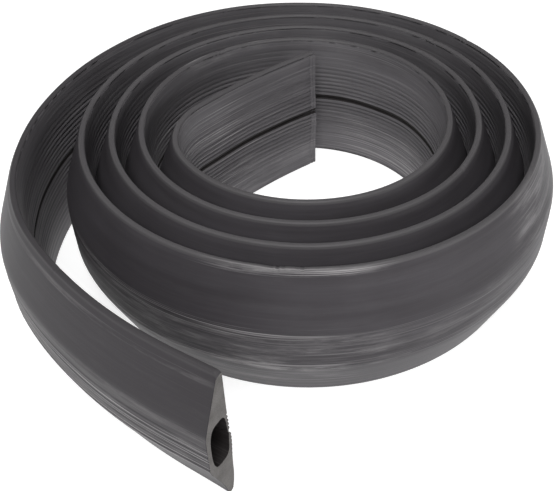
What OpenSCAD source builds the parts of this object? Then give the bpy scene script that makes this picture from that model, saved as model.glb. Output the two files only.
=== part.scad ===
// Cable protector ramp: one length of extruded rubber floor strip, wound on edge into a loose coil.
// The strip's ramp faces outwards and its flat underside, with the slit that opens the cable channel,
// faces the middle of the coil. The coil stands on one edge of the strip at Z = 0, with +Z up, and
// the origin is under the middle of the coil's bounding box.
// The strip is followed from its inner end to its outer end. Heading is the direction of travel in
// degrees from +X. Every bend turns left, and every bend's radius is measured to the underside.

/* [Strip] */
// Width of the strip, which is the height of the coil
strip_w = 83; // [80:1:100]
// Height of the ramp's crown above the underside
strip_h = 15.2; // [14:0.1:16]
// Thickness of the strip's two edges
lip_t = 3; // [2.8:0.1:4]
// Slope of the ramp's flanks, in degrees
flank_angle = 22; // [21:0.5:25]
// Radius that blends each flank into the flat crown
shoulder_r = 30; // [15:1:30]
// Radius on the corners of the strip's two edges
edge_r = 1; // [0.5:0.1:1.4]

/* [Cable channel] */
// Width of the channel
channel_w = 28; // [20:1:30]
// Height of the channel
channel_h = 10.6; // [9:0.1:11]
// Thickness of the two lips under the channel
floor_t = 1.8; // [1.5:0.1:2]
// Radius of the channel's corners
channel_r = 4.6; // [2:0.1:4.6]
// Gap between the two lips, through which cables are pushed
slit_w = 0.6; // [0.4:0.1:2]

/* [Coil] */
// Radius of the first whole turn, over its first quarter
first_turn_r = 75; // [75:0.1:80]
// Gap between a turn's crown and the next turn's underside
turn_gap = 0.4; // [0.3:0.1:2]
// Radius of the inner end, which is nearly straight
inner_end_r = 336; // [300:1:336]
// Angle that the inner end turns through
inner_end_sweep = 15; // [8:0.5:15]
// Radius of the tight bend behind the inner end
inner_bend_r = 38.5; // [38:0.5:39]
// Angle that the tight bend turns through
inner_bend_sweep = 68; // [67:0.5:75]
// Radius of the run from the tight bend into the first whole turn
inner_run_r = 71; // [65:0.5:71]
// Angle that this run turns through
inner_run_sweep = 31; // [28:0.5:32]
// Length of the straight outer end
straight_l = 20; // [15:1:60]

/* [Hidden] */

CHARCOAL = [0.20, 0.20, 0.21];
ROUND_STEPS = 4;   // facets on each rounded corner of the section
CUT_GAP = 0.02;    // keeps the straight length's end face off the bend behind it

// Centre of the first quarter of the first whole turn
COIL_CENTRE = [8.42, 22.98];

// Every arc of the strip is [radius, sweep]. The inner arcs are listed from the first whole turn
// inwards, and the others from there outwards.
INNER_ARCS = [
    [inner_run_r, inner_run_sweep],
    [inner_bend_r, inner_bend_sweep],
    [inner_end_r, inner_end_sweep]
];

// A whole turn is four quarters, each wider than the last by a quarter of the pitch, so the quarters
// on one side of the coil share a centre and the gap between turns is the same all the way round.
pitch = strip_h + turn_gap;
QUARTERS = 14;
WOUND_ARCS = [for (q = [0:QUARTERS - 1]) [first_turn_r + q * pitch / 4, 90]];

// The lengths of the outer end that have come off the coil, before the straight one. Their sweeps
// add up to half a turn, so the straight length lies along +X.
FREE_ARCS = [
    [134.5, 20.75], [134.5, 20.75], [134.5, 20.75], [134.5, 20.75],
    [165.5, 22.5], [165.5, 22.5], [120, 27.5],
    [243, 12.25], [243, 12.25]
];

// A place is [x, y, heading], and an arc's centre lies on its left
function centre(place, arc) =
    [place.x - arc[0] * sin(place.z), place.y + arc[0] * cos(place.z)];
function along(place, arc, sweep) =
    let (c = centre(place, arc), heading = place.z + sweep)
    [c.x + arc[0] * sin(heading), c.y - arc[0] * cos(heading), heading];
function starts_outwards(place, arcs, i = 0) =
    i == len(arcs) ? []
        : concat([place], starts_outwards(along(place, arcs[i], arcs[i][1]), arcs, i + 1));
function starts_inwards(place, arcs, i = 0) =
    i == len(arcs) ? []
        : let (start = along(place, arcs[i], -arcs[i][1]))
            concat([start], starts_inwards(start, arcs, i + 1));

COIL_START = [COIL_CENTRE.x, COIL_CENTRE.y - first_turn_r, 0];
INNER_STARTS = starts_inwards(COIL_START, INNER_ARCS);
OUTER_ARCS = concat(WOUND_ARCS, FREE_ARCS);
OUTER_STARTS = starts_outwards(COIL_START, OUTER_ARCS);

// A rounded corner at b between a and c, as points along an arc of radius r
function unit(v) = v / norm(v);
function rounded(a, b, c, r) =
    let (
        to_a = unit(a - b),
        to_c = unit(c - b),
        half = acos(to_a * to_c) / 2,
        mid = b + unit(to_a + to_c) * r / sin(half),
        from = b + to_a * r / tan(half),
        to = b + to_c * r / tan(half)
    )
    [for (i = [0:ROUND_STEPS])
        mid + r * unit((from - mid) * (1 - i / ROUND_STEPS) + (to - mid) * i / ROUND_STEPS)];

// The section's corners, each [height above the underside, distance up the width, radius]
mid_w = strip_w / 2;
shoulder_w = (strip_h - lip_t) / tan(flank_angle);
roof_h = floor_t + channel_h;
CORNERS = [
    [0, 0, edge_r],
    [lip_t, 0, edge_r],
    [strip_h, shoulder_w, shoulder_r],
    [strip_h, strip_w - shoulder_w, shoulder_r],
    [lip_t, strip_w, edge_r],
    [0, strip_w, edge_r],
    [0, mid_w + slit_w / 2, 0],
    [floor_t, mid_w + slit_w / 2, 0],
    [floor_t, mid_w + channel_w / 2, channel_r],
    [roof_h, mid_w + channel_w / 2, channel_r],
    [roof_h, mid_w - channel_w / 2, channel_r],
    [floor_t, mid_w - channel_w / 2, channel_r],
    [floor_t, mid_w - slit_w / 2, 0],
    [0, mid_w - slit_w / 2, 0]
];
function flat(p) = [p.x, p.y];
function corner(i) = CORNERS[(i + len(CORNERS)) % len(CORNERS)];
SECTION = [for (i = [0:len(CORNERS) - 1])
    each corner(i).z == 0 ? [flat(corner(i))]
        : rounded(flat(corner(i - 1)), flat(corner(i)), flat(corner(i + 1)), corner(i).z)];

// One arc of the strip, from its inner end
module length_of_strip(start, arc) {
    c = centre(start, arc);
    translate([c.x, c.y, 0])
        rotate([0, 0, start.z - 90])
            rotate_extrude(angle = arc[1], $fn = 180)
                translate([arc[0], 0])
                    polygon(SECTION);
}

module inner_length(i) {
    color(CHARCOAL) length_of_strip(INNER_STARTS[i], INNER_ARCS[i]);
}

module outer_length(i) {
    color(CHARCOAL) length_of_strip(OUTER_STARTS[i], OUTER_ARCS[i]);
}

// The inner cut end, which stands free inside the coil
module inner_end() {
    inner_length(2);
}

// The tight bend behind the inner end
module inner_bend() {
    inner_length(1);
}

// The run from the tight bend into the first whole turn
module inner_run() {
    inner_length(0);
}

// One turn, or what there is of the last one, counted from the middle of the coil
module turn(number) {
    first = 4 * (number - 1);
    last = min(first + 3, QUARTERS - 1);
    for (i = [first:last]) outer_length(i);
}

// One bent length of the free outer end, counted from the coil
module free_length(number) {
    outer_length(QUARTERS + number - 1);
}

// The straight length at the outer cut end, laid along +X with its ramp facing -Y
module straight_length() {
    start = OUTER_STARTS[len(OUTER_ARCS) - 1];
    end = along(start, OUTER_ARCS[len(OUTER_ARCS) - 1], OUTER_ARCS[len(OUTER_ARCS) - 1][1]);
    color(CHARCOAL)
        translate([end.x + straight_l, end.y, 0])
            rotate([90, 0, -90])
                linear_extrude(straight_l - CUT_GAP)
                    polygon(SECTION);
}

inner_end();
inner_bend();
inner_run();
for (n = [1:ceil(QUARTERS / 4)])
    turn(n);
for (n = [1:len(FREE_ARCS)])
    free_length(n);
straight_length();  // free_length_10
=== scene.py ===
"""Cable protector ramp: one length of ribbed rubber strip, wound on edge into a loose coil."""

import math

import bmesh
import bpy
import numpy as np
from mathutils import Matrix, Vector
from mathutils.geometry import tessellate_polygon


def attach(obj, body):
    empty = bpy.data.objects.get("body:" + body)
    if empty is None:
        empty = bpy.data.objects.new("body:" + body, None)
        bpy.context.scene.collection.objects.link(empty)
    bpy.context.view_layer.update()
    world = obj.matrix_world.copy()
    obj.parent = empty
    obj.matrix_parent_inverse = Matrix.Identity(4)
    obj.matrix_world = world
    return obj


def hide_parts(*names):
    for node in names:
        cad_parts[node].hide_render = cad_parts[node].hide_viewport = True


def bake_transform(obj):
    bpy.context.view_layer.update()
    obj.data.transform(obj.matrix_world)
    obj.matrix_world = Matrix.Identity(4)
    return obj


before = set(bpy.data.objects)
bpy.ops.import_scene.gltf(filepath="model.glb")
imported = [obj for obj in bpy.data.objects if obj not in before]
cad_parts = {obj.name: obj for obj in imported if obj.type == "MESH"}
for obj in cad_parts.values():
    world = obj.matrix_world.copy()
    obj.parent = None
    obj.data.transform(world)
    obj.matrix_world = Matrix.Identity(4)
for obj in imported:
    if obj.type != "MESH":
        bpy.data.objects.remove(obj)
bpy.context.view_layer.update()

MM = 0.001

# ---------------------------------------------------------------- the strip's path, as in the CAD
# Every bend turns left, and a bend's radius is measured to the underside. Lengths are in
# millimetres, headings are in degrees, and a bend is a (radius, sweep).

WIDTH = 83.0
HEIGHT = 15.2
CENTRE = (8.42, 22.98)                              # of the first quarter of the first whole turn
FIRST_R = 75.0
PITCH = 15.6                                        # what a whole turn adds to the radius
QUARTERS = 14
INNER = [(336.0, 15.0), (38.5, 68.0), (71.0, 31.0)]
WOUND = [(FIRST_R + PITCH / 4 * q, 90.0) for q in range(QUARTERS)]
FREE = [(134.5, 20.75)] * 4 + [(165.5, 22.5)] * 2 + [(120.0, 27.5)] + [(243.0, 12.25)] * 2
STRAIGHT = 20.0


def right_of(heading):
    a = np.radians(heading)
    return np.stack([np.sin(a), -np.cos(a)], -1)


def forward(heading):
    a = np.radians(heading)
    return np.stack([np.cos(a), np.sin(a)], -1)


def lay_out():
    """Every bend as (first distance, length, radius, first heading, centre), from the inner end."""
    place, heading = np.array([CENTRE[0], CENTRE[1] - FIRST_R]), 0.0
    for radius, sweep in reversed(INNER):
        middle = place - radius * right_of(heading)
        heading -= sweep
        place = middle + radius * right_of(heading)
    bends, travelled = [], 0.0
    for radius, sweep in INNER + WOUND + FREE:
        middle = place - radius * right_of(heading)
        length = radius * math.radians(sweep)
        bends.append((travelled, length, radius, heading, middle))
        travelled += length
        heading += sweep
        place = middle + radius * right_of(heading)
    bends.append((travelled, STRAIGHT, None, heading, place))
    return bends


BENDS = lay_out()
TOTAL = BENDS[-1][0] + STRAIGHT
CUTS = [b[0] for b in BENDS]
END_CUT = CUTS[1]                                   # between the inner end and its tight bend
FREE_CUTS = CUTS[len(INNER) + QUARTERS:]            # one before each free length


def bend_at(s):
    """The bend that is s mm along the strip."""
    return [bend for bend in BENDS if bend[0] <= s + 1e-9][-1]


def at(s):
    """Place on the underside and heading, s mm along the strip."""
    first, _, radius, heading, origin = bend_at(s)
    if radius is None:
        return origin + (s - first) * forward(heading), heading
    heading = heading + math.degrees((s - first) / radius)
    return origin + radius * right_of(heading), heading


# ---------------------------------------------------------------- the strip's section
# Each point is (height above the underside, distance up the width, what the face after it is).

RAMP, UNDER, BORE, CUT = range(4)
MID = WIDTH / 2
LIP = 3.2                                           # thickness of the strip's two edges
EDGE_R = 1.15                                       # radius of their corners
FLANK = math.radians(22)                            # slope of the ramp's two flanks
CROWN = HEIGHT - 0.15
SOFT = 0.5                                          # how softly each flank turns into the crown
RIDGES = [                                          # (distance up the width, rise, half width)
    (31.0, 0.34, 0.7), (35.6, 0.1, 0.4), (40.6, 0.2, 0.5),
    (43.2, 0.08, 0.35), (46.2, 0.24, 0.55), (51.6, 0.12, 0.6)
]
RIDGED_FROM = 2400.0                                # how far along the ridges become sharp
EDGE_LINES = (4.6, WIDTH - 4.6)                     # a fine groove in the ramp inside each edge
LINE_DEPTH, LINE_HALF = 0.16, 0.5
RAMP_FROM, RAMP_TO = EDGE_R + 0.45, WIDTH - EDGE_R - 2.0
COARSE, FINE = 1.6, 0.3                             # from one point of the ramp to the next
FINE_WITHIN = 1.2                                   # of a ridge's middle
RIBS_FROM = 2.6                                     # from the middle of the slit to the first crest
RIB_PITCH = 2.6                                     # of the ribs next to the slit
RIB_SPREAD = 0.0325                                 # each pitch is wider than the last by twice this
RIB_COUNT = 12
GROOVE_DEPTH, LAST_DEPTH = 0.92, 0.04               # deepest next to the slit, and shallowest
GROOVE_PROFILE = [(0.0, 0.0), (0.2, 0.08), (0.36, 0.75), (0.5, 1.0), (0.64, 0.75), (0.8, 0.08)]
SLIT_SIDE = [(0.0, 2.2), (0.4, 1.4), (0.7, 0.25), (0.9, 0.1)]   # (height, distance from its middle)
BORE_HALF = 14.0
BORE_FLOOR, BORE_ROOF = 1.4, 12.7
BORE_POWERS = (0.4, 0.72)                           # below and above, where 1 would be an ellipse
BORE_ANGLES = np.radians(np.linspace(-82, 262, 33))
NEAREST = 0.02                                      # points closer than this are one point


def bump(x, half):
    """A smooth hump, 1 at the middle and down to 0.37 half a width away."""
    return np.exp(-(x / half) ** 2)


def crown_height(w):
    """Height of the ramp's surface at w, flanks blended into a flat crown."""
    flank = LIP + np.minimum(w, WIDTH - w) * math.tan(FLANK)
    return np.minimum(flank, CROWN - SOFT * np.log1p(np.exp((CROWN - flank) / SOFT)))


def ridges(w):
    """How far the fine ridges stand up from the ramp at w."""
    return sum(rise * bump(w - middle, half) for middle, rise, half in RIDGES)


def arc(u, w, first, last, count):
    """Points round a quarter of an edge's corner, angles in degrees from +u."""
    angles = np.radians(np.linspace(first, last, count))
    return [(u + EDGE_R * math.cos(a), w + EDGE_R * math.sin(a)) for a in angles]


def ramp_points():
    """The ramp's surface between its rounded edges, finer where it has ridges."""
    ws = [RAMP_FROM]
    while ws[-1] < RAMP_TO:
        near = min(abs(ws[-1] - ridge[0]) for ridge in RIDGES)
        ws.append(ws[-1] + (FINE if near < FINE_WITHIN else COARSE))
    ws = np.array(ws)
    h = crown_height(ws) + ridges(ws)
    for middle in EDGE_LINES:
        h = h - LINE_DEPTH * bump(ws - middle, LINE_HALF)
    return list(zip(h, ws))


def crest(k):
    """How far rib k's crest is from the middle of the slit."""
    return RIBS_FROM + RIB_PITCH * k + RIB_SPREAD * k * (k - 1)


def ribs():
    """The underside on one side of the slit, as (depth, distance from the slit's middle)."""
    points = []
    for k in range(RIB_COUNT):
        depth = GROOVE_DEPTH * (1 - k / RIB_COUNT) ** 0.9 + LAST_DEPTH
        pitch = crest(k + 1) - crest(k)
        points += [(depth * d, crest(k) + f * pitch) for f, d in GROOVE_PROFILE]
    last = crest(RIB_COUNT)
    return points + [(0.0, last + x * (MID - last)) for x in (0.0, 0.35, 0.7)]


def bore():
    """The channel's oval, from one side of the slit round to the other."""
    middle, half = (BORE_FLOOR + BORE_ROOF) / 2, (BORE_ROOF - BORE_FLOOR) / 2
    points = []
    for a in BORE_ANGLES:
        c, v = math.cos(a), math.sin(a)
        power = BORE_POWERS[0] if v < 0 else BORE_POWERS[1]
        points.append((middle + half * math.copysign(abs(v) ** power, v),
                       MID + BORE_HALF * math.copysign(abs(c) ** power, c)))
    return points


def section():
    """Every point of the section as (height, distance up the width, what the face after it is)."""
    low, high, outer = EDGE_R, WIDTH - EDGE_R, LIP - EDGE_R
    slit_above = [(u, MID + d) for u, d in SLIT_SIDE]
    slit_below = [(u, MID - d) for u, d in reversed(SLIT_SIDE)]
    parts = [
        (RAMP, arc(EDGE_R, low, 180, 270, 5) + arc(outer, low, 270, 360, 5)),
        (RAMP, ramp_points()),
        (RAMP, arc(outer, high, 0, 90, 6) + arc(EDGE_R, high, 90, 160, 4)),
        (UNDER, [(0.0, high)] + [(u, MID + d) for u, d in reversed(ribs())]),
        (BORE, slit_above + bore() + slit_below[:2]),
        (UNDER, slit_below[2:] + [(u, MID - d) for u, d in ribs()]),
    ]
    points = []
    for tag, outline in parts:
        for u, w in outline:
            if not points or math.dist((u, w), points[-1][:2]) > NEAREST:
                points.append((u, w, tag))
    return points


SECTION = section()
SEC_U = np.array([p[0] for p in SECTION])
SEC_W = np.array([p[1] for p in SECTION])
SEC_TAG = np.array([p[2] for p in SECTION])
IS_RIB = (SEC_TAG == UNDER) & (abs(SEC_W - MID) > RIBS_FROM - 0.1)
GROOVE = np.where(IS_RIB, SEC_U, 0.0)               # how deep in a groove each point is
RIDGE = np.where((SEC_TAG == RAMP) & (SEC_U > LIP), ridges(SEC_W), 0.0)
NEAR_RAMP = np.clip(SEC_U / HEIGHT, 0, 1)
NEAR_TOP = np.clip((SEC_W - MID) / MID, 0, 1) ** 2
NEAR_LOW = np.clip((MID - SEC_W) / MID, 0, 1) ** 2
# distances round the section, and all the way round it
AROUND = np.concatenate([[0], np.cumsum(np.hypot(np.diff(SEC_U), np.diff(SEC_W)))])
CLOSE = AROUND[-1] + math.hypot(SEC_U[0] - SEC_U[-1], SEC_W[0] - SEC_W[-1])

# ---------------------------------------------------------------- unevenness, dents and nicks

NICKS = [                                           # (distance along, length, depth) in the top edge
    (2041.0, 7.0, 0.9), (2052.0, 5.0, 0.6), (508.0, 6.0, 1.0), (818.0, 5.0, 0.9),
    (1180.0, 4.0, 0.5), (1595.0, 5.0, 0.5), (2330.0, 4.0, 0.5), (2790.0, 4.0, 0.4)
]
DENTS = [                                           # (distance along, up the width, radius, depth)
    (2176.0, 70.0, 9.0, 0.5), (2192.0, 60.0, 8.0, 0.5), (2160.0, 55.0, 10.0, 0.35),
    (2206.0, 72.0, 9.0, 0.4), (2140.0, 31.0, 9.0, 0.3), (2120.0, 44.0, 12.0, 0.25),
    (2068.0, 48.0, 14.0, 0.2), (2640.0, 60.0, 14.0, 0.25), (2700.0, 36.0, 12.0, 0.3)
]
TOP_SAG, LOW_SAG, RAMP_SAG = 0.25, 0.1, 0.1         # half of each dip's greatest depth
SLIT_WANDER = 0.6
WANDER_DEPTH, WANDER_HALF = 1.2, 16.0               # how much of the section wanders with the slit
RIDGE_LOSS, RIDGE_FADE = 0.65, 80.0                 # share pressed away on the coil, and the change
DENT_SHAPE = 0.7                                    # a dent's size up the width, to that along it
NICK_REACH = 1.2                                    # how far down from the top edge a nick goes
WORN_SHARE = 0.75                                   # of the upper ribs' depth, on the coil
WORN_UP, WORN_UP_FADE = 60.0, 10.0
WORN_ALONG, WORN_ALONG_FADE = 100.0, 200.0
PRESSED, PRESSED_FADE = 2.6, 0.5                    # how near a cut the knife has pressed the ribs flat
SPARED_MIDDLE, SPARED_HALF = MID + 7.0, 6.0         # ribs that it spared at the outer end
KNIFE_MARKS = [(1.2, 0.5), (3.4, 0.6)]              # (distance along, half width), at the inner end
KNIFE_DEPTH = 0.4
CUT_CORNER, CORNER_REACH = 1.6, 1.5                 # the top edge's rounding at each cut
LIPS_SPRING = 18.0                                  # how far along from a cut the lips settle
LOWER_LIP, UPPER_LIP = (1.3, 36.0, 11.0), (0.6, 46.0, 7.0)      # (how far, middle, half width)
LIP_SKIN = 3.0                                      # only the section's lowest part springs
CURL, CURL_UP, CURL_ALONG = 2.0, 14.0, 25.0         # of the lower edge, at the outer end


def waves(s, seed, lengths):
    """A smooth, repeatable unevenness along the strip, from -1 to 1."""
    rng = np.random.default_rng(seed)
    total = 0.0
    for length in lengths:
        total += math.sin(2 * math.pi * s / length + rng.uniform(0, 6.28)) * rng.uniform(0.5, 1)
    return total / len(lengths)


def reached(x, first, over):
    """0 up to first, and rising to 1 over the next stretch."""
    return np.clip((x - first) / over, 0, 1)


def untrue(s, u, w):
    """The edges, the ramp and the slit are never quite straight on a rubber extrusion."""
    w = w - NEAR_TOP * TOP_SAG * (1 + waves(s, 3, (61, 93, 150, 237)))
    w = w + NEAR_LOW * LOW_SAG * (1 + waves(s, 5, (83, 131, 210)))
    u = u - NEAR_RAMP * RAMP_SAG * (1 + waves(s, 7, (47, 71, 118, 190)))
    by_slit = (SEC_U < WANDER_DEPTH) * bump(SEC_W - MID, WANDER_HALF)
    w = w + SLIT_WANDER * by_slit * waves(s, 9, (41, 67, 109))
    return u, w


def knocked(s, u, w):
    """The dents in the ramp and the nicks in the top edge."""
    for middle, up, radius, depth in DENTS:
        u = u - depth * NEAR_RAMP * bump(s - middle, radius) * bump(SEC_W - up, DENT_SHAPE * radius)
    for middle, length, depth in NICKS:
        rough = 0.7 + 0.3 * math.sin(5.1 * s) + 0.3 * math.sin(2.3 * s)
        w = w - depth * rough * bump(s - middle, length / 2) * bump(WIDTH - SEC_W, NICK_REACH)
    return u, w


def levelled(s, u):
    """Ridges are sharp only at the outer end, and ribs are worn, or pressed flat beside a cut."""
    u = u - RIDGE_LOSS * RIDGE * (1 - reached(s, RIDGED_FROM, RIDGE_FADE))
    flat = 1 - reached(min(s, TOTAL - s), PRESSED, PRESSED_FADE)
    if s >= MID:
        flat = flat * (abs(SEC_W - SPARED_MIDDLE) > SPARED_HALF)
    worn = reached(SEC_W, WORN_UP, WORN_UP_FADE) * reached(s, WORN_ALONG, WORN_ALONG_FADE)
    return u - GROOVE * np.maximum(flat, WORN_SHARE * worn)


def sprung(s, u, w):
    """The knife's marks, and the lips and the lower edge springing out of line beside a cut."""
    from_end = min(s, TOTAL - s)
    if s < MID:
        for middle, half in KNIFE_MARKS:
            u = u + KNIFE_DEPTH * (SEC_U < 1.0) * bump(s - middle, half)
    w = w - CUT_CORNER * (1 - min(from_end / CUT_CORNER, 1)) ** 2 * bump(WIDTH - SEC_W, CORNER_REACH)
    slack = math.exp(-from_end / LIPS_SPRING) * np.clip(1 - SEC_U / LIP_SKIN, 0, 1)
    for (far, middle, half), side in ((LOWER_LIP, SEC_W < MID), (UPPER_LIP, SEC_W > MID)):
        u = u - slack * far * bump(SEC_W - middle, half) * side
    u = u + CURL * math.exp(-(TOTAL - s) / CURL_ALONG) * np.clip(1 - SEC_W / CURL_UP, 0, 1) ** 2
    return u, w


def ring(s):
    """The section's points in space, s mm along the strip."""
    u, w = untrue(s, SEC_U, SEC_W)
    u, w = knocked(s, u, w)
    u, w = sprung(s, levelled(s, u), w)
    place, heading = at(s)
    r = right_of(heading)
    return np.stack([place[0] + u * r[0], place[1] + u * r[1], w], -1) * MM


LONGEST, TURN_STEP = 6.0, math.radians(3.2)         # from one ring to the next, on straights and bends
RIM_STEP = 0.2                                      # from a piece's ends to their nearest rings
CUT_STEP, CUT_WITHIN = 0.35, 4.0                    # in the last few millimetres before a cut
DENT_STEP, END_WITHIN = 2.5, 40.0                   # in the dents, and within so much of a cut
NICK_STEP = 0.6                                     # in a nick, and from this far outside it


def stations(s0, s1):
    """Distances along the strip to put a ring at, closer near dents, nicks and cut ends."""
    marks = [s0, s0 + RIM_STEP]
    while marks[-1] < s1 - RIM_STEP:
        s = marks[-1]
        radius = bend_at(s)[2]
        step = LONGEST if radius is None else min(LONGEST, radius * TURN_STEP)
        from_end = min(s, TOTAL - s)
        if from_end < CUT_WITHIN:
            step = CUT_STEP
        elif from_end < END_WITHIN or min(abs(s - dent[0]) - 2 * dent[2] for dent in DENTS) < 0:
            step = min(step, DENT_STEP)
        if min(abs(s - nick[0]) - nick[1] for nick in NICKS) < NICK_STEP:
            step = NICK_STEP
        marks.append(min(s + step, s1 - RIM_STEP))
    return marks + [s1]


def skin(count):
    """The faces over so many rings and over both ends, and what each face is."""
    n = len(SECTION)
    faces, tags = [], []
    for j in range(count - 1):
        for i in range(n):
            k = (i + 1) % n
            faces.append((j * n + i, j * n + k, (j + 1) * n + k, (j + 1) * n + i))
            tags.append(SEC_TAG[i])
    outline = [Vector((u, w, 0)) for u, w in zip(SEC_U, SEC_W)]
    triangles = tessellate_polygon([outline])
    for j in (0, count - 1):
        faces += [tuple(j * n + i for i in triangle) for triangle in triangles]
        tags += [CUT] * len(triangles)
    return faces, tags


CUTS_ASIDE = 400.0                                  # keeps the cut faces' coordinates off the others


def unwrap(marks, faces):
    """Every corner's distance along the strip and round its section, in metres."""
    n = len(SECTION)
    sides = list(zip(AROUND, [*AROUND[1:], CLOSE]))
    corners = []
    for s0, s1 in zip(marks, marks[1:]):
        for a0, a1 in sides:
            corners += [(s0, a0), (s0, a1), (s1, a1), (s1, a0)]
    for face in faces[len(corners) // 4:]:
        corners += [(SEC_U[v % n] + CUTS_ASIDE, SEC_W[v % n]) for v in face]
    return np.array(corners, np.float32) * MM


def sharpen_ends(mesh):
    """Keep the shading from running over the edges round both ends."""
    n = len(SECTION)
    last = len(mesh.vertices) - n
    sharp = [max(edge.vertices) < n or min(edge.vertices) >= last for edge in mesh.edges]
    mesh.attributes.new("sharp_edge", "BOOLEAN", "EDGE").data.foreach_set("value", sharp)


def strip(name, s0, s1, materials):
    """One closed piece of the strip, between two planes across it."""
    marks = stations(s0, s1)
    verts = np.concatenate([ring(s) for s in marks])
    faces, tags = skin(len(marks))
    mesh = bpy.data.meshes.new(name)
    mesh.from_pydata([tuple(v) for v in verts], [], faces)
    mesh.update()
    for material in materials:
        mesh.materials.append(material)
    mesh.polygons.foreach_set("material_index", tags)
    mesh.uv_layers.new(name="strip").data.foreach_set("uv", unwrap(marks, faces).ravel())
    obj = bpy.data.objects.new(name, mesh)
    bpy.context.scene.collection.objects.link(obj)
    bm = bmesh.new()
    bm.from_mesh(mesh)
    bmesh.ops.recalc_face_normals(bm, faces=bm.faces)
    bm.to_mesh(mesh)
    bm.free()
    mesh.polygons.foreach_set("use_smooth", [bool(tag != CUT) for tag in tags])
    sharpen_ends(mesh)
    mesh.update()
    return obj


# ---------------------------------------------------------------- materials

RELIEF = 0.0004                                     # metres, from the lowest grain to the highest


class Nodes:
    """Short ways to add shader nodes to a material."""

    def __init__(self, material):
        self.tree = material.node_tree
        self.shader = self.tree.nodes["Principled BSDF"]

    def add(self, kind, **sets):
        node = self.tree.nodes.new(kind)
        for key, value in sets.items():
            setattr(node, key, value)
        return node

    def link(self, a, b):
        self.tree.links.new(a, b)

    def feed(self, socket, x):
        """Give a socket a colour, a number or another node's output."""
        if isinstance(x, tuple):
            socket.default_value = (*x, 1)
        elif isinstance(x, (int, float)):
            socket.default_value = x
        else:
            self.link(x, socket)

    def math(self, op, a, b, clamp=False):
        node = self.add("ShaderNodeMath", operation=op, use_clamp=clamp)
        self.feed(node.inputs[0], a)
        self.feed(node.inputs[1], b)
        return node.outputs[0]

    def span(self, value, low, high, to_low=0.0, to_high=1.0):
        """0 to 1 as value goes from low to high, eased at both ends."""
        node = self.add("ShaderNodeMapRange", interpolation_type="SMOOTHSTEP")
        self.link(value, node.inputs["Value"])
        for key, x in (("From Min", low), ("From Max", high), ("To Min", to_low), ("To Max", to_high)):
            node.inputs[key].default_value = x
        return node.outputs["Result"]

    def window(self, value, low, high, soft):
        """1 between low and high, and 0 further than soft outside them."""
        return self.math("MULTIPLY", self.span(value, low - soft, low),
                         self.span(value, high, high + soft, 1.0, 0.0))

    def relief(self, height, strength):
        """Make the surface's grain stand up."""
        node = self.add("ShaderNodeBump")
        node.inputs["Strength"].default_value = strength
        node.inputs["Distance"].default_value = RELIEF
        self.link(height, node.inputs["Height"])
        self.link(node.outputs[0], self.shader.inputs["Normal"])

    def noise(self, vector, scale, detail, rough):
        node = self.add("ShaderNodeTexNoise")
        node.inputs["Scale"].default_value = scale
        node.inputs["Detail"].default_value = detail
        node.inputs["Roughness"].default_value = rough
        self.link(vector, node.inputs["Vector"])
        return node.outputs["Fac"]

    def streaks(self, vector, scales, detail, rough):
        """Noise with a scale of its own along each coordinate."""
        node = self.add("ShaderNodeMapping")
        node.inputs["Scale"].default_value = scales
        self.link(vector, node.inputs["Vector"])
        return self.noise(node.outputs[0], 1.0, detail, rough)

    def mix(self, factor, a, b):
        node = self.add("ShaderNodeMix", data_type="RGBA")
        self.link(factor, node.inputs["Factor"])
        for key, x in (("A", a), ("B", b)):
            self.feed(next(i for i in node.inputs if i.name == key and i.type == "RGBA"), x)
        return next(o for o in node.outputs if o.type == "RGBA")

    def weighed(self, a, share_a, b, share_b):
        """A share of one output and a share of another, added up."""
        return self.math("ADD", self.math("MULTIPLY", a, share_a), self.math("MULTIPLY", b, share_b))


def new_material(name):
    material = bpy.data.materials.new(name)
    material.use_nodes = True
    return material, Nodes(material)


def around(face, w):
    """Where w lies on the strip's second texture coordinate, on one face, in metres."""
    of_face = SEC_TAG == face
    if face == RAMP:
        of_face = of_face & (SEC_U > LIP - EDGE_R)      # the edges below it would fold back
    order = np.argsort(SEC_W[of_face])
    return float(np.interp(w, SEC_W[of_face][order], AROUND[of_face][order])) * MM


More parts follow.
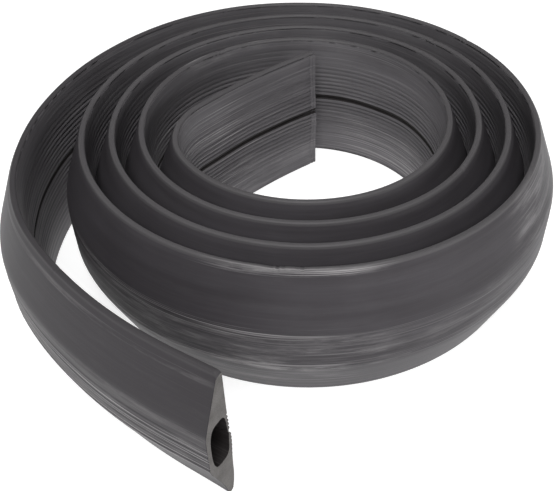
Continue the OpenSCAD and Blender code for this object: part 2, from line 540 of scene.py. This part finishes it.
# Where the rubber is coloured pale, for real scratches and nicks and for painted highlights, painted
# sheen and painted floor light: (first and last distance along, lower and upper place up the width, how
# far it fades out across the strip, strength of the drawn lines, strength of the smears)
UNDER_WEAR_AND_LIGHT = [
    # rib crests painted pale where light from the floor falls on them: painted light
    (55.0, 150.0, 7.0, 38.5, 3.0, 0.9, 0.1),
    (70.0, 150.0, 44.5, 74.0, 3.0, 0.8, 0.1),
    (0.0, 90.0, 4.0, 39.0, 2.0, 0.5, 0.35),
    (10.0, 60.0, 52.0, 62.0, 3.0, 0.4, 0.15),
    # a real pale nick in the top edge
    (498.0, 518.0, 78.0, 83.0, 1.5, 0.2, 0.6),
    # more rib crests painted pale where light from the floor falls: painted light
    (350.0, 420.0, 6.0, 30.0, 4.0, 0.8, 0.2),
    (540.0, 620.0, 26.0, 62.0, 4.0, 0.7, 0.1),
    (1700.0, 2600.0, 8.0, 38.0, 4.0, 0.6, 0.05),
]
RAMP_WEAR_AND_LIGHT = [
    # real fine white scratches along the upper shoulder
    (1940.0, 2050.0, 50.0, 54.0, 3.0, 0.7, 0.1),
    # painted highlight along the lower shoulder, bright at the front and dimmer further on
    (1860.0, 2060.0, 28.5, 32.5, 2.5, 0.6, 1.0),
    (2050.0, 2240.0, 29.5, 32.0, 2.0, 0.4, 0.4),
    # real pale nicks, with a painted highlight on the top edge round them
    (2022.0, 2070.0, 80.5, 83.0, 1.0, 0.9, 0.7),
    # a real pale nick in the top edge
    (496.0, 522.0, 76.0, 83.0, 2.0, 0.3, 0.9),
    # the lower flank painted pale: painted light from the floor
    (1900.0, 2060.0, 12.0, 26.0, 4.0, 0.4, 0.35),
    # the crown: real streaks, and painted light from the floor
    (1900.0, 2080.0, 34.0, 50.0, 4.0, 0.2, 0.45),
    # the crown: real fine lines, and a painted sheen
    (2050.0, 2230.0, 34.0, 52.0, 4.0, 0.25, 0.2),
    # painted sheen on the right flank
    (2180.0, 2240.0, 56.0, 80.0, 6.0, 0.3, 0.55),
    # painted highlights along the fine ridges and lines of the outer end
    (2500.0, 2950.0, 26.0, 46.0, 2.0, 1.0, 0.35),
    (2500.0, 2950.0, 46.0, 53.0, 3.0, 0.2, 0.25),
    # painted highlight just under the top edge at the outer end
    (2740.0, 2868.0, 77.0, 78.5, 1.0, 0.3, 0.25),
    # the whole lower half: faint real lines, and painted light from the floor
    (-50.0, 2950.0, 0.0, 54.0, 3.0, 0.1, 0.06),
]
WEAR_AND_LIGHT_SOFT = 30.0                                    # how far each pale mark fades out along the strip
# pale colour of the real scratches and nicks, and of the painted highlights, sheen and floor light
DUST_AND_SHEEN = (0.36, 0.348, 0.352)
LIP_HIGHLIGHT = (0.092, 0.088, 0.091)                    # painted highlight along the top edge's whole length
TOP_EDGE = AROUND[(SEC_TAG == RAMP) & (SEC_W > WIDTH - 1.4)]
# the painted highlight runs on past the edge's last corner, and fades over the last distance
LIP_FROM, LIP_TO, LIP_SOFT = TOP_EDGE.min(), TOP_EDGE.max() + 3.0, 0.8
SHADED_END_FROM, SHADED_END_SOFT = 2540.0, 80.0               # painted shade: the outer end's ramp is coloured darker
SHADED_END_SHARE, SHADED_END_TONE = 0.6, 0.8                 # how much of it, and how much darker
RUBBER_SHINE, CUT_SHINE = 0.14, 0.25


def ramp_tone(n, base, along, across, broad, dark):
    """The ramp's painted tones: a painted highlight along its top edge, and painted shade darkening its
    outer end.
    """
    # painted highlight on the top edge, varied along it by the broad streaks
    lip = n.window(across, LIP_FROM * MM, LIP_TO * MM, LIP_SOFT * MM)
    lip = n.math("MULTIPLY", lip, n.math("ADD", n.math("MULTIPLY", broad, 0.5), 0.5))
    base = n.mix(lip, base, LIP_HIGHLIGHT)
    # painted shade: the ramp darkens towards the outer end
    shaded_end = n.span(along, (SHADED_END_FROM - SHADED_END_SOFT) * MM, SHADED_END_FROM * MM)
    return n.mix(n.math("MULTIPLY", shaded_end, SHADED_END_SHARE), base, tuple(SHADED_END_TONE * c for c in dark))


def rubber(name, face, dark, light, roughness, lines, smears, wear_and_light=()):
    """Extruded rubber: cloudy tone, fine lines drawn along the strip, and pale marks: real scratches
    and nicks, and painted highlights, sheen and floor light.
    """
    material, n = new_material(name)
    uv = n.add("ShaderNodeUVMap", uv_map="strip").outputs[0]
    point = n.add("ShaderNodeTexCoord").outputs["Object"]
    split = n.add("ShaderNodeSeparateXYZ")
    n.link(uv, split.inputs[0])
    along, across = split.outputs[0], split.outputs[1]
    cloud = n.noise(point, scale=16, detail=4, rough=0.55)
    broad = n.streaks(uv, scales=(6, 130, 1), detail=3, rough=0.6)
    drawn = n.streaks(uv, scales=(9, 1100, 1), detail=3, rough=0.6)
    smear = n.streaks(uv, scales=(22, 160, 1), detail=6, rough=0.7)
    grain = n.noise(point, scale=1500, detail=2, rough=0.6)

    base = n.mix(n.span(n.weighed(cloud, 0.5, broad, 0.5), 0.34, 0.66), dark, light)
    if face == RAMP:
        base = ramp_tone(n, base, along, across, broad, dark)
    # the rows paint pale marks: real scratches and nicks, and painted highlights, sheen and floor light
    for first, last, lower, upper, soft, with_lines, with_smears in wear_and_light:
        low, high = sorted((around(face, lower), around(face, upper)))
        lies = n.math("MULTIPLY", n.window(along, first * MM, last * MM, WEAR_AND_LIGHT_SOFT * MM),
                      n.window(across, low, high, soft * MM))
        lines = n.math("MAXIMUM", lines, n.math("MULTIPLY", lies, with_lines))
        smears = n.math("MAXIMUM", smears, n.math("MULTIPLY", lies, with_smears))
    pale = n.math("MAXIMUM", n.math("MULTIPLY", n.span(drawn, 0.5, 0.7), lines),
                  n.math("MULTIPLY", n.span(smear, 0.42, 0.75), smears))
    n.link(n.mix(pale, base, DUST_AND_SHEEN), n.shader.inputs["Base Color"])

    rough = n.math("ADD", n.weighed(cloud, 0.12, pale, 0.2), roughness - 0.06, clamp=True)
    n.link(rough, n.shader.inputs["Roughness"])
    n.shader.inputs["Specular IOR Level"].default_value = RUBBER_SHINE
    n.relief(n.weighed(drawn, 0.45, grain, 0.25), strength=0.2)
    return material


def cut_rubber(name, dark, light):
    """The sawn end: paler and duller, with fine grain and a few saw lines."""
    material, n = new_material(name)
    point = n.add("ShaderNodeTexCoord").outputs["Object"]
    cloud = n.noise(point, scale=160, detail=4, rough=0.6)
    grain = n.noise(point, scale=1900, detail=3, rough=0.7)
    saw = n.streaks(point, scales=(30, 30, 900), detail=2, rough=0.6)
    base = n.mix(n.span(n.weighed(cloud, 0.5, grain, 0.5), 0.3, 0.7), dark, light)
    n.link(base, n.shader.inputs["Base Color"])
    n.shader.inputs["Roughness"].default_value = 0.85
    n.shader.inputs["Specular IOR Level"].default_value = CUT_SHINE
    n.relief(n.weighed(grain, 1.0, saw, 0.6), strength=0.5)
    return material


MATERIALS = [                                       # in the order of RAMP, UNDER, BORE and CUT
    rubber("ramp_rubber", RAMP, dark=(0.042, 0.0385, 0.0425), light=(0.055, 0.051, 0.0565),
           roughness=0.45, lines=0.02, smears=0.03, wear_and_light=RAMP_WEAR_AND_LIGHT),
    rubber("underside_rubber", UNDER, dark=(0.085, 0.08, 0.086), light=(0.13, 0.124, 0.132),
           roughness=0.48, lines=0.3, smears=0.12, wear_and_light=UNDER_WEAR_AND_LIGHT),
    # the channel's inside is coloured far darker than the rubber outside: painted shade
    rubber("bore_rubber", BORE, dark=(0.011, 0.009, 0.009), light=(0.016, 0.0135, 0.0135),
           roughness=0.6, lines=0.1, smears=0.05),
    cut_rubber("cut_rubber", dark=(0.088, 0.083, 0.08), light=(0.158, 0.15, 0.146)),
]

# ---------------------------------------------------------------- the pieces


bodies = ["coil"] + [f"free_length_{i + 1}" for i in range(len(FREE_CUTS))]
middles = [(a + b) / 2 for a, b in zip(FREE_CUTS, FREE_CUTS[1:] + [TOTAL])]
flex_from, flex_to = END_CUT - 30, END_CUT + 24     # the stretch between the inner end and the coil
coil_to = FREE_CUTS[0] - 25

tip = strip("strip_inner_tip", 0.0, flex_from, MATERIALS)
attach(tip, "inner_end")
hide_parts("inner_end")

flex = strip("strip_inner_flex", flex_from, flex_to, MATERIALS)
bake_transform(flex)

coil = strip("strip_coil", flex_to, coil_to, MATERIALS)
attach(coil, "coil")
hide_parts("inner_bend", "inner_run", "turn_1", "turn_2", "turn_3", "turn_4")

edges = [coil_to] + middles
for i, cut in enumerate(FREE_CUTS):
    piece = strip(f"strip_flex_{i + 1}", edges[i], edges[i + 1], MATERIALS)
    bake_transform(piece)
    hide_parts(bodies[i + 1])

outer_tip = strip("strip_outer_tip", edges[-1], TOTAL, MATERIALS)
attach(outer_tip, bodies[-1])

# ---------------------------------------------------------------- floor, light and camera

FLOOR_HALF = 6.0
FLOOR_DROP = 0.0002                                 # the floor lies just under the strip
FLOOR_GLOW = 0.78
HORIZON, OVERHEAD = (0.05, 0.5), (0.5, 0.02)        # (height, brightness), each where it stops changing
LENS, SHIFT_X, SHIFT_Y = 53.06, -0.0728, 0.0113
CAMERA_PLACE = (0.20369, -0.30444, 0.33155)
CAMERA_RIGHT = (0.86566, 0.50063, 0.00078)
CAMERA_UP = (-0.34082, 0.58818, 0.73341)


def add_floor():
    h = FLOOR_HALF
    mesh = bpy.data.meshes.new("floor")
    mesh.from_pydata([(-h, -h, 0), (h, -h, 0), (h, h, 0), (-h, h, 0)], [], [(0, 1, 2, 3)])
    obj = bpy.data.objects.new("floor", mesh)
    obj.location.z = -FLOOR_DROP
    bpy.context.scene.collection.objects.link(obj)
    material, n = new_material("floor")
    n.shader.inputs["Base Color"].default_value = (0.5, 0.5, 0.5, 1)
    n.shader.inputs["Roughness"].default_value = 0.9
    n.shader.inputs["Specular IOR Level"].default_value = 0.1
    n.shader.inputs["Emission Color"].default_value = (1, 1, 1, 1)
    n.shader.inputs["Emission Strength"].default_value = FLOOR_GLOW
    mesh.materials.append(material)
    return obj


def add_world():
    """A white sky, pale at the horizon and nearly dark overhead, where the lights are."""
    world = bpy.data.worlds.new("studio")
    bpy.context.scene.world = world
    world.use_nodes = True
    nodes, links = world.node_tree.nodes, world.node_tree.links
    nodes["Background"].inputs["Color"].default_value = (1, 1, 1, 1)
    direction = nodes.new("ShaderNodeTexCoord")
    split = nodes.new("ShaderNodeSeparateXYZ")
    fade = nodes.new("ShaderNodeMapRange")
    fade.inputs["From Min"].default_value, fade.inputs["To Min"].default_value = HORIZON
    fade.inputs["From Max"].default_value, fade.inputs["To Max"].default_value = OVERHEAD
    links.new(direction.outputs["Generated"], split.inputs[0])
    links.new(split.outputs["Z"], fade.inputs["Value"])
    links.new(fade.outputs["Result"], nodes["Background"].inputs["Strength"])


def area_light(name, place, target, side, power):
    light = bpy.data.lights.new(name, "AREA")
    light.shape = "RECTANGLE"
    light.size, light.size_y = side, side
    light.energy = power
    obj = bpy.data.objects.new(name, light)
    bpy.context.scene.collection.objects.link(obj)
    obj.location = place
    obj.rotation_mode = "QUATERNION"
    obj.rotation_quaternion = (Vector(target) - Vector(place)).to_track_quat("-Z", "Y")


def add_camera():
    data = bpy.data.cameras.new("camera")
    data.lens, data.shift_x, data.shift_y = LENS, SHIFT_X, SHIFT_Y
    obj = bpy.data.objects.new("camera", data)
    bpy.context.scene.collection.objects.link(obj)
    across = Vector(CAMERA_RIGHT).normalized()
    back = across.cross(Vector(CAMERA_UP)).normalized()
    turn = Matrix((across, back.cross(across), back)).transposed()
    obj.matrix_world = Matrix.Translation(CAMERA_PLACE) @ turn.to_4x4()
    return obj


floor = add_floor()
add_world()
area_light("overhead", (0.0, -0.1, 1.5), (0, 0, 0), side=1.0, power=12.5)
area_light("front", (0.5, -0.9, 1.2), (0, 0, 0.02), side=0.6, power=12.5)
area_light("front left", (-0.9, -1.3, 0.3), (0, 0, 0.02), side=0.6, power=1.5)
area_light("right", (1.5, 0.0, 0.4), (0, 0, 0.02), side=0.6, power=5)
bpy.context.scene.camera = add_camera()
bpy.context.scene.view_settings.view_transform = "Standard"
